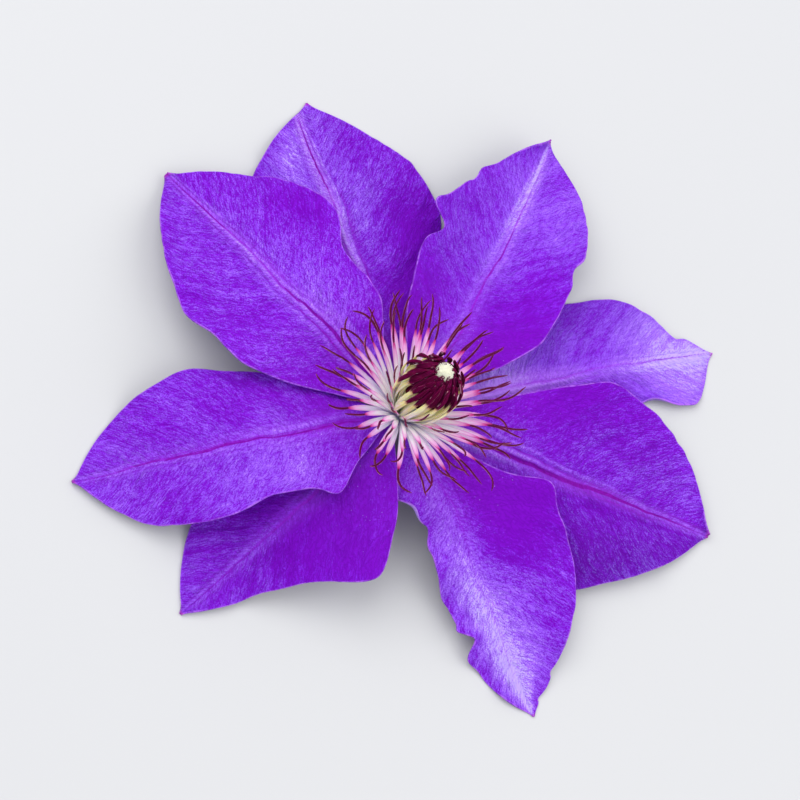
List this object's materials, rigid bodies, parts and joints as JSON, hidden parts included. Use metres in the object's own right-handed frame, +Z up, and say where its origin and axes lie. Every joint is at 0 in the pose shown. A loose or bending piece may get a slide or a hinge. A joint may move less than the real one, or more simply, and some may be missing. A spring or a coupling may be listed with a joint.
{
  "type": "clematis flower",
  "caption": "Picked clematis flower lying face up: broad waved violet tepals, spread cream and maroon stamens round a dark dome with a pale tuft, on a short bent stalk.",
  "frame": {"origin": "on the surface the flower lies on, under the middle of its box", "axes": "+Z up from the surface, towards the flower's face; +X to the right of the face and +Y to its top, as seen from above"},
  "size_m": [0.159, 0.1504, 0.0401],
  "materials": {
    "tepal_violet": "silky petal with fine veins",
    "stalk_green": "fine-ribbed green stalk flushed purple",
    "stamen_cream": "matte cream and pink filaments with dark anthers",
    "stamen_maroon": "satin dark anthers on pale yellow filaments",
    "stigma_pale": "soft hairy tuft"
  },
  "bodies": {
    "root": {"stem": "stalk_green", "tepal_A": "tepal_violet", "tepal_B": "tepal_violet", "tepal_C": "tepal_violet", "tepal_D": "tepal_violet", "tepal_E": "tepal_violet", "tepal_F": "tepal_violet", "tepal_G": "tepal_violet", "tepal_H": "tepal_violet", "stamens_outer": "stamen_cream", "stamens_inner": "stamen_maroon", "pistil": "stigma_pale"}
  },
  "joints": []
}
